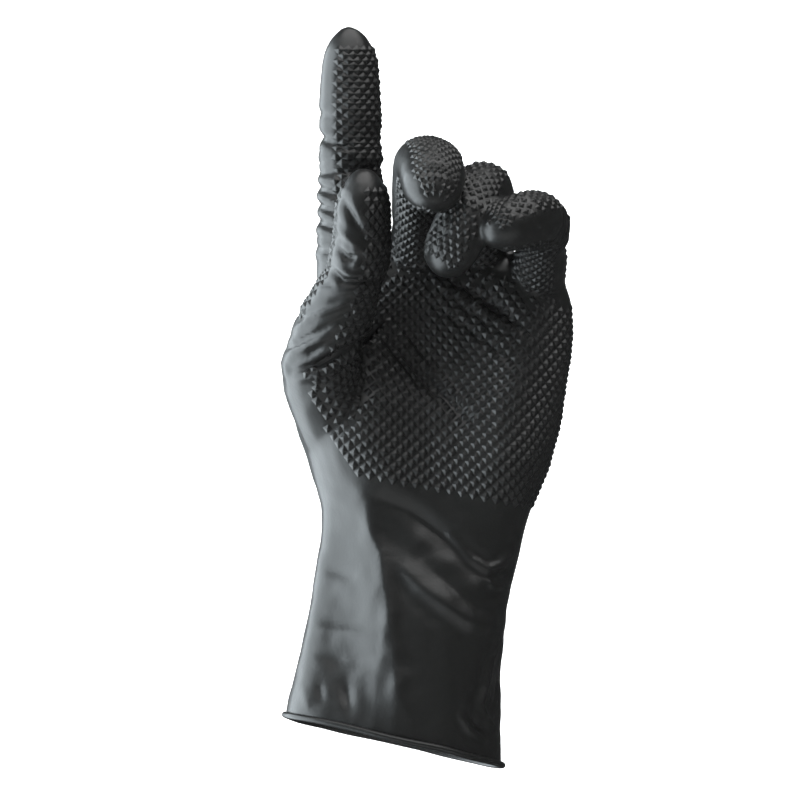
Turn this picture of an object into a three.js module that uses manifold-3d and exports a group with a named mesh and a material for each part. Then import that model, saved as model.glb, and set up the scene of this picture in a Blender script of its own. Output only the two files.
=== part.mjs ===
// A long-cuff nitrile exam glove for the left hand, as it stands when worn: index finger straight up,
// thumb brought forward and the other three fingers curled. The palm faces -Y and the fingers point to +Z.
// The origin is the middle of the cuff's opening. The film is one hollow solid, and its rim is rolled.

import * as THREE from 'three';
import { mergeVertices } from 'three/addons/utils/BufferGeometryUtils.js';
import Module from 'manifold-3d';

const wasm = await Module();
wasm.setup();

// Driving sizes in millimetres
const film = 1.2;
const cuffBreadth = 75;
const cuffDepth = 50;
const cuffLength = 77;
const palmBreadth = 97;
const palmDepth = 38;
const palmLength = 97;
const beadHeight = 3;
const beadWidth = 2.8;
const beadProud = 1.6;
const rimTiltAcross = 13.5;
const rimTiltBack = 9;
const rimFadeLength = 45;
const thumbLength = 119.5;
const thumbBreadth = 23;
const thumbDepth = 22;
const thumbTipLength = 12;
const indexLength = 113.5;
const indexBreadth = 23;
const indexDepth = 21;
const indexTipLength = 13;
const middleLength = 119.5;
const middleBreadth = 23;
const middleDepth = 20.5;
const ringLength = 118;
const ringBreadth = 20.5;
const ringDepth = 20;
const littleLength = 99;
const littleBreadth = 19;
const littleDepth = 19;
const curledTipLength = 10;

// Facets
const bodySides = 40;
const bodyRings = 22;
const domeRings = 4;
const domeShare = 0.07;
const digitSides = 14;
const digitRingStep = 6.8;
const capRings = 4;
const beadSides = 8;

const filmMaterial = new THREE.MeshStandardMaterial({ color: 0x242626, roughness: 0.5, metalness: 0 });

// The cuff and the palm are one body lofted through these sections. up is a share of the zone's length,
// left and right are shares of its breadth, and front and back are shares of its depth.
const cuffZone = { base: 0, length: cuffLength, breadth: cuffBreadth, depth: cuffDepth };
const palmZone = { base: cuffLength, length: palmLength, breadth: palmBreadth, depth: palmDepth };
const bodySections = [
  { zone: cuffZone, up: 0, left: -0.5, right: 0.5, front: -0.5, back: 0.5 },
  { zone: cuffZone, up: 0.18, left: -0.468, right: 0.503, front: -0.45, back: 0.53 },
  { zone: cuffZone, up: 0.41, left: -0.424, right: 0.511, front: -0.37, back: 0.57 },
  { zone: cuffZone, up: 0.64, left: -0.387, right: 0.544, front: -0.29, back: 0.61 },
  { zone: cuffZone, up: 0.86, left: -0.347, right: 0.596, front: -0.2, back: 0.64 },
  { zone: cuffZone, up: 1, left: -0.333, right: 0.635, front: -0.14, back: 0.66 },
  { zone: palmZone, up: 0.11, left: -0.278, right: 0.536, front: -0.13, back: 0.9 },
  { zone: palmZone, up: 0.23, left: -0.32, right: 0.582, front: -0.09, back: 0.95 },
  { zone: palmZone, up: 0.36, left: -0.361, right: 0.614, front: -0.05, back: 0.97 },
  { zone: palmZone, up: 0.49, left: -0.387, right: 0.635, front: -0.03, back: 0.98 },
  { zone: palmZone, up: 0.61, left: -0.37, right: 0.65, front: 0, back: 0.98 },
  { zone: palmZone, up: 0.74, left: -0.305, right: 0.656, front: 0.05, back: 0.94 },
  { zone: palmZone, up: 0.85, left: -0.275, right: 0.64, front: 0.08, back: 0.87 },
  { zone: palmZone, up: 0.92, left: -0.24, right: 0.58, front: 0.15, back: 0.79 },
  { zone: palmZone, up: 0.97, left: -0.17, right: 0.48, front: 0.25, back: 0.69 },
  { zone: palmZone, up: 1, left: -0.04, right: 0.34, front: 0.4, back: 0.56 },
];
const bodySquareness = 2.3;

// Mounds and hollows of the palm's front. across and wide are shares of the zone's breadth, up and tall
// are shares of its length, and rise is a share of its depth.
const mounds = [
  { zone: palmZone, across: -0.16, up: 0.31, wide: 0.23, tall: 0.27, rise: 0.29 },
  { zone: palmZone, across: 0.42, up: 0.3, wide: 0.17, tall: 0.28, rise: 0.16 },
  { zone: palmZone, across: 0.2, up: 0.6, wide: 0.2, tall: 0.2, rise: -0.14 },
];

// Folds pulled across the front of the cuff and the palm, each a soft line from one point to another.
const folds = [
  { zone: cuffZone, fromAcross: -0.27, fromUp: 1.12, toAcross: -0.23, toUp: -0.05, width: 0.17, rise: -0.11 },
  { zone: cuffZone, fromAcross: -0.13, fromUp: 1.12, toAcross: 0.03, toUp: 0.05, width: 0.07, rise: 0.05 },
  { zone: cuffZone, fromAcross: 0.0, fromUp: 0.98, toAcross: 0.42, toUp: 0.72, width: 0.06, rise: -0.04 },
  { zone: cuffZone, fromAcross: 0.05, fromUp: 0.8, toAcross: 0.5, toUp: 0.52, width: 0.07, rise: 0.035 },
  { zone: cuffZone, fromAcross: 0.5, fromUp: 0.45, toAcross: 0.4, toUp: 0.06, width: 0.05, rise: -0.05 },
  { zone: palmZone, fromAcross: -0.04, fromUp: 0.7, toAcross: 0.28, toUp: 0.36, width: 0.05, rise: -0.06 },
  { zone: palmZone, fromAcross: 0.22, fromUp: 0.88, toAcross: 0.48, toUp: 0.68, width: 0.04, rise: -0.07 },
];

// Each digit is a stall swept along its bones. root is a place in the palm zone: across, back and up are
// shares of its breadth, depth and length. turn is the compass turn of the pad side in degrees, 0 facing
// -Y. A bone's length is a share of the digit's length, lean is its angle to the right of straight up and
// reach its angle towards -Y, in degrees. A section's breadth and depth are shares of the digit's own, and
// at is a share of its length. A crease pinches the stall all round, by a share of its breadth.
const digits = [
  {
    name: 'thumb',
    size: { length: thumbLength, breadth: thumbBreadth, depth: thumbDepth },
    root: { across: -0.12, back: 0.42, up: 0.17 },
    turn: 62,
    bones: [
      { length: 0.387, lean: -22, reach: 26 },
      { length: 0.329, lean: 26, reach: 22 },
      { length: 0.284, lean: 3, reach: 14 },
    ],
    sections: [
      { at: 0, breadth: 1.2, depth: 1.3 },
      { at: 0.36, breadth: 1.2, depth: 1.3 },
      { at: 0.55, breadth: 1.02, depth: 1.08 },
      { at: 0.74, breadth: 0.98, depth: 0.92 },
      { at: 0.9, breadth: 0.94, depth: 0.8 },
      { at: 1, breadth: 0.8, depth: 0.66 },
    ],
    creases: [
      { at: 0.45, pinch: 0.05, width: 0.03 },
      { at: 0.68, pinch: 0.06, width: 0.03 },
    ],
    capLength: thumbTipLength,
  },
  {
    name: 'index',
    size: { length: indexLength, breadth: indexBreadth, depth: indexDepth },
    root: { across: -0.129, back: 0.53, up: 0.635 },
    turn: 22,
    bones: [
      { length: 0.181, lean: -8, reach: 6 },
      { length: 0.375, lean: 0, reach: 1 },
      { length: 0.187, lean: 0, reach: 5 },
      { length: 0.257, lean: 0, reach: 8 },
    ],
    sections: [
      { at: 0, breadth: 0.95, depth: 1 },
      { at: 0.2, breadth: 1.05, depth: 1.16 },
      { at: 0.4, breadth: 1.01, depth: 1.02 },
      { at: 0.55, breadth: 1.02, depth: 1 },
      { at: 0.66, breadth: 1, depth: 0.96 },
      { at: 0.8, breadth: 0.94, depth: 0.88 },
      { at: 0.9, breadth: 0.86, depth: 0.8 },
      { at: 1, breadth: 0.66, depth: 0.66 },
    ],
    creases: [
      { at: 0.44, pinch: 0.05, width: 0.025 },
      { at: 0.56, pinch: 0.09, width: 0.025 },
      { at: 0.65, pinch: 0.04, width: 0.02 },
    ],
    capLength: indexTipLength,
  },
  {
    name: 'middle',
    size: { length: middleLength, breadth: middleBreadth, depth: middleDepth },
    root: { across: 0.055, back: 0.62, up: 0.62 },
    turn: 0,
    bones: [
      { length: 0.218, lean: 5, reach: 4 },
      { length: 0.415, lean: 6, reach: 40 },
      { length: 0.204, lean: 154, reach: 80 },
      { length: 0.163, lean: 179, reach: 46 },
    ],
    sections: [
      { at: 0, breadth: 0.82, depth: 1 },
      { at: 0.22, breadth: 0.9, depth: 1.16 },
      { at: 0.45, breadth: 0.9, depth: 0.96 },
      { at: 0.62, breadth: 1.01, depth: 0.98 },
      { at: 0.8, breadth: 1, depth: 0.92 },
      { at: 1, breadth: 0.84, depth: 0.76 },
    ],
    creases: [{ at: 0.42, pinch: 0.04, width: 0.03 }],
    capLength: curledTipLength,
  },
  {
    name: 'ring',
    size: { length: ringLength, breadth: ringBreadth, depth: ringDepth },
    root: { across: 0.254, back: 0.64, up: 0.62 },
    turn: -14,
    bones: [
      { length: 0.219, lean: 11, reach: 4 },
      { length: 0.383, lean: 6, reach: 41 },
      { length: 0.225, lean: -154, reach: 45 },
      { length: 0.173, lean: -151, reach: -7 },
    ],
    sections: [
      { at: 0, breadth: 0.92, depth: 1 },
      { at: 0.22, breadth: 1, depth: 1.15 },
      { at: 0.45, breadth: 0.94, depth: 0.96 },
      { at: 0.62, breadth: 1, depth: 0.98 },
      { at: 0.84, breadth: 0.98, depth: 0.92 },
      { at: 1, breadth: 0.84, depth: 0.78 },
    ],
    creases: [{ at: 0.42, pinch: 0.04, width: 0.03 }],
    capLength: curledTipLength,
  },
  {
    name: 'little',
    size: { length: littleLength, breadth: littleBreadth, depth: littleDepth },
    root: { across: 0.45, back: 0.62, up: 0.6 },
    turn: -20,
    bones: [
      { length: 0.236, lean: 19, reach: 4 },
      { length: 0.41, lean: 3, reach: 53 },
      { length: 0.191, lean: -95, reach: 64 },
      { length: 0.163, lean: -116, reach: 16 },
    ],
    sections: [
      { at: 0, breadth: 0.98, depth: 1.05 },
      { at: 0.24, breadth: 1.04, depth: 1.14 },
      { at: 0.45, breadth: 0.96, depth: 1 },
      { at: 0.64, breadth: 1, depth: 1 },
      { at: 0.84, breadth: 1, depth: 0.96 },
      { at: 1, breadth: 0.84, depth: 0.8 },
    ],
    creases: [{ at: 0.5, pinch: 0.05, width: 0.03 }],
    capLength: curledTipLength,
  },
];

// A smooth reading of one column of a table, at a place along another column
function readColumn(rows, place, key, value) {
  const knots = rows.map((row) => place(row));
  const values = rows.map((row) => row[key]);
  return new THREE.CubicInterpolant(knots, values, 1, new Float64Array(1)).evaluate(value)[0];
}

function smoothStep(low, high, value) {
  return THREE.MathUtils.smoothstep(value, low, high);
}

function bell(distance, width) {
  return Math.exp(-((distance / width) ** 2));
}

// A closed sock from a lathe of unit radius, whose every vertex is then placed by its ring, which is the
// lathe's height, and by where it lies on the unit disc.
function sock(rings, sides, place) {
  const profile = rings.map((ring, index) => new THREE.Vector2(ring.radius, index));
  const geometry = new THREE.LatheGeometry(profile, sides);
  const position = geometry.attributes.position;
  for (let index = 0; index < position.count; index += 1) {
    const ring = rings[Math.round(position.getY(index))];
    const point = place(ring, position.getX(index), position.getZ(index));
    position.setXYZ(index, point.x, point.y, point.z);
  }
  return geometry;
}

function toSolid(geometry) {
  const bare = geometry.clone();
  bare.deleteAttribute('normal');
  bare.deleteAttribute('uv');
  const merged = mergeVertices(bare, 1e-4);
  const corners = merged.index.array;
  const kept = [];
  for (let index = 0; index < corners.length; index += 3) {
    const [a, b, c] = [corners[index], corners[index + 1], corners[index + 2]];
    if (a !== b && b !== c && c !== a) {
      kept.push(a, b, c);
    }
  }
  const vertProperties = new Float32Array(merged.attributes.position.array);
  const mesh = new wasm.Mesh({ numProp: 3, vertProperties, triVerts: new Uint32Array(kept) });
  return new wasm.Manifold(mesh);
}

function toGeometry(solid) {
  const mesh = solid.getMesh();
  const geometry = new THREE.BufferGeometry();
  geometry.setAttribute('position', new THREE.BufferAttribute(mesh.vertProperties, 3));
  geometry.setIndex(new THREE.BufferAttribute(mesh.triVerts, 1));
  geometry.computeVertexNormals();
  return geometry;
}

// Cuff and palm

const sectionHeight = (section) => section.zone.base + section.up * section.zone.length;
const bodySpans = bodySections.map((section) => ({
  height: sectionHeight(section),
  left: section.left * section.zone.breadth,
  right: section.right * section.zone.breadth,
  front: section.front * section.zone.depth,
  back: section.back * section.zone.depth,
}));

function bodySpan(height) {
  const at = (key) => readColumn(bodySpans, (span) => span.height, key, height);
  return { left: at('left'), right: at('right'), front: at('front'), back: at('back') };
}

// The opening is cut on a slant, and the slant fades out up the cuff
function rimSlant(x, y, height) {
  const fade = 1 - smoothStep(0, rimFadeLength, height);
  const across = Math.tan(THREE.MathUtils.degToRad(rimTiltAcross)) * x;
  const back = Math.tan(THREE.MathUtils.degToRad(rimTiltBack)) * y;
  return -fade * (across + back);
}

function foldRise(fold, x, height) {
  const { zone } = fold;
  const start = new THREE.Vector2(fold.fromAcross * zone.breadth, zone.base + fold.fromUp * zone.length);
  const end = new THREE.Vector2(fold.toAcross * zone.breadth, zone.base + fold.toUp * zone.length);
  const run = end.clone().sub(start);
  const reach = new THREE.Vector2(x, height).sub(start);
  const share = THREE.MathUtils.clamp(reach.dot(run) / run.lengthSq(), 0, 1);
  const gap = reach.distanceTo(run.multiplyScalar(share));
  const ends = 0.4 + 0.6 * Math.sin(Math.PI * share);
  return fold.rise * zone.depth * ends * bell(gap, fold.width * zone.breadth);
}

function frontRise(x, height) {
  let rise = 0;
  for (const mound of mounds) {
    const { zone } = mound;
    const across = (x - mound.across * zone.breadth) / (mound.wide * zone.breadth);
    const up = (height - zone.base - mound.up * zone.length) / (mound.tall * zone.length);
    rise += mound.rise * zone.depth * bell(Math.hypot(across, up), 1);
  }
  for (const fold of folds) {
    rise += foldRise(fold, x, height);
  }
  return rise;
}

// The point of the body's skin at a height, for a direction on the unit disc, inset by a depth of film
function bodyPoint(height, discX, discY, inset) {
  const span = bodySpan(height);
  const round = Math.hypot(discX, discY) || 1;
  const squared = (value) => Math.sign(value) * Math.abs(value / round) ** (2 / bodySquareness) * round;
  const halfBreadth = (span.right - span.left) / 2 - inset;
  const halfDepth = (span.back - span.front) / 2 - inset;
  const x = (span.left + span.right) / 2 + squared(discX) * halfBreadth;
  const facing = smoothStep(-0.1, 0.75, discY / round) * Math.min(1, round);
  const y = (span.front + span.back) / 2 - squared(discY) * halfDepth - facing * frontRise(x, height);
  return new THREE.Vector3(x, y, height + rimSlant(x, y, height));
}

function bodyRingList(inset) {
  const top = cuffLength + palmLength - inset;
  const bottom = inset > 0 ? -beadHeight * 2 : 0;
  const shoulder = top * (1 - domeShare);
  const rings = [{ radius: 0, height: bottom }];
  for (let index = 0; index <= bodyRings; index += 1) {
    const height = index === 0 ? bottom : (index / bodyRings) * shoulder;
    rings.push({ radius: 1, height });
  }
  for (let index = 1; index <= domeRings; index += 1) {
    rings.push({ radius: 1, height: shoulder + (index / domeRings) * (top - shoulder) });
  }
  rings.push({ radius: 0, height: top });
  return rings;
}

function bodySkin(inset) {
  return sock(bodyRingList(inset), bodySides, (ring, discX, discY) => bodyPoint(ring.height, discX, discY, inset));
}

// The rolled bead: a ring of oval section that follows the slanted rim, proud of the cuff
function bead() {
  const centre = 10;
  const profile = [];
  for (let index = 0; index <= beadSides; index += 1) {
    const angle = (index / beadSides) * 2 * Math.PI;
    profile.push(new THREE.Vector2(centre + Math.cos(angle), Math.sin(angle)));
  }
  profile[beadSides].copy(profile[0]);
  const geometry = new THREE.LatheGeometry(profile, bodySides);
  const position = geometry.attributes.position;
  for (let index = 0; index < position.count; index += 1) {
    const [discX, rise, discY] = [position.getX(index), position.getY(index), position.getZ(index)];
    const round = Math.hypot(discX, discY);
    const proud = beadProud - film / 2 + ((round - centre) * beadWidth) / 2;
    const point = bodyPoint(0, discX / round, discY / round, -proud);
    position.setXYZ(index, point.x, point.y, point.z + (rise * beadHeight) / 2);
  }
  return geometry;
}

// Digits

function boneDirection({ lean, reach }) {
  const [leanAngle, reachAngle] = [lean, reach].map(THREE.MathUtils.degToRad);
  const level = Math.cos(reachAngle);
  return new THREE.Vector3(level * Math.sin(leanAngle), -Math.sin(reachAngle), level * Math.cos(leanAngle));
}

// The middle line of a digit: straight bones, with each joint rounded off as an arc as wide as fits
function boneLine({ size, root, bones }) {
  const joints = [
    new THREE.Vector3(root.across * palmBreadth, root.back * palmDepth, cuffLength + root.up * palmLength),
  ];
  for (const bone of bones) {
    joints.push(joints.at(-1).clone().addScaledVector(boneDirection(bone), bone.length * size.length));
  }
  const line = new THREE.CurvePath();
  let from = joints[0];
  for (let index = 1; index < joints.length - 1; index += 1) {
    const [before, joint, after] = joints.slice(index - 1, index + 2);
    const incoming = joint.clone().sub(before).normalize();
    const outgoing = after.clone().sub(joint).normalize();
    const bend = incoming.angleTo(outgoing);
    const room = 0.45 * Math.min(joint.distanceTo(before), joint.distanceTo(after));
    const run = Math.min(room, size.depth * 0.5);
    const handle = (4 / 3) * (run / Math.tan(bend / 2)) * Math.tan(bend / 4);
    const start = joint.clone().addScaledVector(incoming, -run);
    const end = joint.clone().addScaledVector(outgoing, run);
    const startHandle = start.clone().addScaledVector(incoming, handle);
    const endHandle = end.clone().addScaledVector(outgoing, -handle);
    line.add(new THREE.LineCurve3(from, start));
    line.add(new THREE.CubicBezierCurve3(start, startHandle, endHandle, end));
    from = end;
  }
  line.add(new THREE.LineCurve3(from, joints.at(-1)));
  return line;
}

// Stations along a digit: a rounded end inside the palm, even rings, and a rounded tip
function digitRings({ size, capLength }, inset) {
  const first = inset;
  const last = size.length - inset;
  const cap = capLength - inset / 2;
  const rings = [];
  for (let index = 0; index < capRings; index += 1) {
    const angle = (index / capRings) * (Math.PI / 2);
    rings.push({ radius: Math.sin(angle), along: first + cap * (1 - Math.cos(angle)) });
  }
  const steps = Math.round((size.length - 2 * capLength) / digitRingStep);
  for (let index = 0; index <= steps; index += 1) {
    rings.push({ radius: 1, along: first + cap + (index / steps) * (last - first - 2 * cap) });
  }
  for (let index = capRings - 1; index >= 0; index -= 1) {
    const angle = (index / capRings) * (Math.PI / 2);
    rings.push({ radius: Math.sin(angle), along: last - cap * (1 - Math.cos(angle)) });
  }
  return rings;
}

// Frames that turn no more than the middle line does
function framesAlong(line, digit, rings) {
  const turn = THREE.MathUtils.degToRad(digit.turn);
  const side = new THREE.Vector3(Math.cos(turn), Math.sin(turn), 0);
  let tangent = line.getTangentAt(0);
  side.addScaledVector(tangent, -side.dot(tangent)).normalize();
  return rings.map(({ along }) => {
    const share = along / digit.size.length;
    const next = line.getTangentAt(share);
    side.applyQuaternion(new THREE.Quaternion().setFromUnitVectors(tangent, next));
    tangent = next;
    return { centre: line.getPointAt(share), side: side.clone(), pad: side.clone().cross(tangent) };
  });
}

function digitSkin(digit, inset) {
  const rings = digitRings(digit, inset);
  const line = boneLine(digit);
  line.arcLengthDivisions = 400;
  const frames = framesAlong(line, digit, rings);
  const { length, breadth, depth } = digit.size;
  rings.forEach((ring, index) => {
    const at = ring.along / length;
    let pinch = 0;
    for (const crease of digit.creases) {
      pinch += crease.pinch * breadth * bell(at - crease.at, crease.width);
    }
    const read = (key) => readColumn(digit.sections, (section) => section.at, key, at);
    ring.frame = frames[index];
    ring.halfBreadth = (read('breadth') * breadth) / 2 - pinch - inset;
    ring.halfDepth = (read('depth') * depth) / 2 - pinch - inset;
  });
  return sock(rings, digitSides, ({ frame, halfBreadth, halfDepth }, discX, discY) =>
    frame.centre
      .clone()
      .addScaledVector(frame.side, discX * halfBreadth)
      .addScaledVector(frame.pad, discY * halfDepth),
  );
}

function gloveSolid() {
  let outside = toSolid(bodySkin(0)).add(toSolid(bead()));
  let hollow = toSolid(bodySkin(film));
  for (const digit of digits) {
    outside = outside.add(toSolid(digitSkin(digit, 0)));
    hollow = hollow.add(toSolid(digitSkin(digit, film)));
  }
  return outside.subtract(hollow);
}

const glove = new THREE.Mesh(toGeometry(gloveSolid()), filmMaterial);
glove.name = 'glove';

const assembly = new THREE.Group();
assembly.add(glove);

export default assembly;
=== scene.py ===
"""A nitrile exam glove in black: its film, the rolled bead at the rim and the raised grip, on a plain stage.

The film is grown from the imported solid, smoothed and then creased along the finger stalls, the palm and the
cuff. The grip is small blunt pyramids in staggered rows, set on the film by casting rays at it.
"""

from math import cos, degrees, hypot, pi, radians, sin, tan

import bmesh
import bpy
import numpy as np
from mathutils import Matrix, Vector, noise
from mathutils.bvhtree import BVHTree
from mathutils.geometry import interpolate_bezier


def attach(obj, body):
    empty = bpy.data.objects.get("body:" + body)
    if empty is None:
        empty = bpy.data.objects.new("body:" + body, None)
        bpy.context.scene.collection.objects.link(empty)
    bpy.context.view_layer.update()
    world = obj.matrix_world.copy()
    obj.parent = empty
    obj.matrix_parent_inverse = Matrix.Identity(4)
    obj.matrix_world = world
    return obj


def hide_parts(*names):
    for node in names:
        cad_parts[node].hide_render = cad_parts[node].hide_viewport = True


bl_info = {
    "name": "Nitrile exam glove",
    "version": (1, 0, 0),
    "blender": (4, 5, 0),
    "location": "View3D > Sidebar > Glove",
    "description": "Builds a grip-textured nitrile exam glove and its plain stage",
    "category": "Object",
}

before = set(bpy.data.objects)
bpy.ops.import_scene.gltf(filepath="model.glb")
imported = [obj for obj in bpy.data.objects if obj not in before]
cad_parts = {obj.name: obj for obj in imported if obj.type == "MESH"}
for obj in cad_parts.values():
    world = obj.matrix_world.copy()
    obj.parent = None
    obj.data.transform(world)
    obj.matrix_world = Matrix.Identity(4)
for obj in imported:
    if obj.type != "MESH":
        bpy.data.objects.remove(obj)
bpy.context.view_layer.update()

MM = 0.001
BODY = "root"
NODE = "glove"

# The slanted rim of the cuff, as in the solid
RIM_ACROSS = tan(radians(13.5))
RIM_BACK = tan(radians(9))
RIM_NORMAL = Vector((RIM_ACROSS, RIM_BACK, 1)).normalized()

# The solid's rim is cut off at the first height, and its skin runs on below the rim by the second
RIM_CUT = 2 * MM
RIM_RUN = 8 * MM

# Each finger stall follows its bones, as in the solid. root is the start of its middle line in millimetres,
# turn the compass turn of its pad side, and each bone is (share of the length, lean right, reach forward).
DIGITS = {
    "thumb": {
        "root": (-11.6, 16.0, 93.5),
        "turn": 62,
        "length": 119.5,
        "breadth": 23,
        "depth": 22,
        "bones": ((0.387, -22, 26), (0.329, 26, 22), (0.284, 3, 14)),
    },
    "index": {
        "root": (-12.5, 20.1, 138.6),
        "turn": 22,
        "length": 113.5,
        "breadth": 23,
        "depth": 21,
        "bones": ((0.181, -8, 6), (0.375, 0, 1), (0.187, 0, 5), (0.257, 0, 8)),
    },
    "middle": {
        "root": (5.3, 23.6, 137.1),
        "turn": 0,
        "length": 119.5,
        "breadth": 23,
        "depth": 20.5,
        "bones": ((0.218, 5, 4), (0.415, 6, 40), (0.204, 154, 80), (0.163, 179, 46)),
    },
    "ring": {
        "root": (24.6, 24.3, 137.1),
        "turn": -14,
        "length": 118,
        "breadth": 20.5,
        "depth": 20,
        "bones": ((0.219, 11, 4), (0.383, 6, 41), (0.225, -154, 45), (0.173, -151, -7)),
    },
    "little": {
        "root": (43.7, 23.6, 135.2),
        "turn": -20,
        "length": 99,
        "breadth": 19,
        "depth": 19,
        "bones": ((0.236, 19, 4), (0.41, 3, 53), (0.191, -95, 64), (0.163, -116, 16)),
    },
}

# Creases round the stalls. at is a share of the stall's length, facing and span are degrees round it from
# the pad side, slope is the shift in millimetres for each radian round, and width and depth are millimetres.
CREASES = (
    {"digit": "index", "at": 0.725, "facing": -85, "span": 65, "slope": -1.5, "width": 1.0, "depth": 0.7},
    {"digit": "index", "at": 0.648, "facing": -85, "span": 70, "slope": -2.5, "width": 1.3, "depth": 1.4},
    {"digit": "index", "at": 0.578, "facing": -60, "span": 80, "slope": 0.5, "width": 0.9, "depth": 0.8},
    {"digit": "index", "at": 0.55, "facing": -20, "span": 125, "slope": 0.4, "width": 1.6, "depth": 1.8},
    {"digit": "index", "at": 0.487, "facing": -80, "span": 75, "slope": -3.0, "width": 1.4, "depth": 1.5},
    {"digit": "index", "at": 0.431, "facing": -80, "span": 75, "slope": -3.0, "width": 1.4, "depth": 1.4},
    {"digit": "index", "at": 0.382, "facing": -80, "span": 75, "slope": -3.2, "width": 1.5, "depth": 1.5},
    {"digit": "index", "at": 0.335, "facing": -80, "span": 60, "slope": -2.0, "width": 1.3, "depth": 1.0},
    {"digit": "index", "at": 0.3, "facing": -80, "span": 60, "slope": -3.0, "width": 1.3, "depth": 1.3},
    {"digit": "index", "at": 0.56, "facing": 150, "span": 70, "slope": 1.0, "width": 1.4, "depth": 0.7},
    {"digit": "thumb", "at": 0.5, "facing": 180, "span": 60, "slope": 1.5, "width": 1.5, "depth": 0.8},
    {"digit": "middle", "at": 0.66, "facing": 180, "span": 80, "slope": 0.0, "width": 1.6, "depth": 0.4},
    {"digit": "ring", "at": 0.62, "facing": 180, "span": 80, "slope": 1.5, "width": 1.5, "depth": 0.6},
    {"digit": "ring", "at": 0.57, "facing": -120, "span": 60, "slope": 2.5, "width": 1.2, "depth": 0.8},
    {"digit": "little", "at": 0.6, "facing": 110, "span": 75, "slope": 2.5, "width": 1.1, "depth": 1.1},
    {"digit": "little", "at": 0.65, "facing": 110, "span": 75, "slope": 1.0, "width": 1.1, "depth": 1.1},
    {"digit": "little", "at": 0.7, "facing": 110, "span": 70, "slope": -1.0, "width": 1.1, "depth": 0.9},
)

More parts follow.
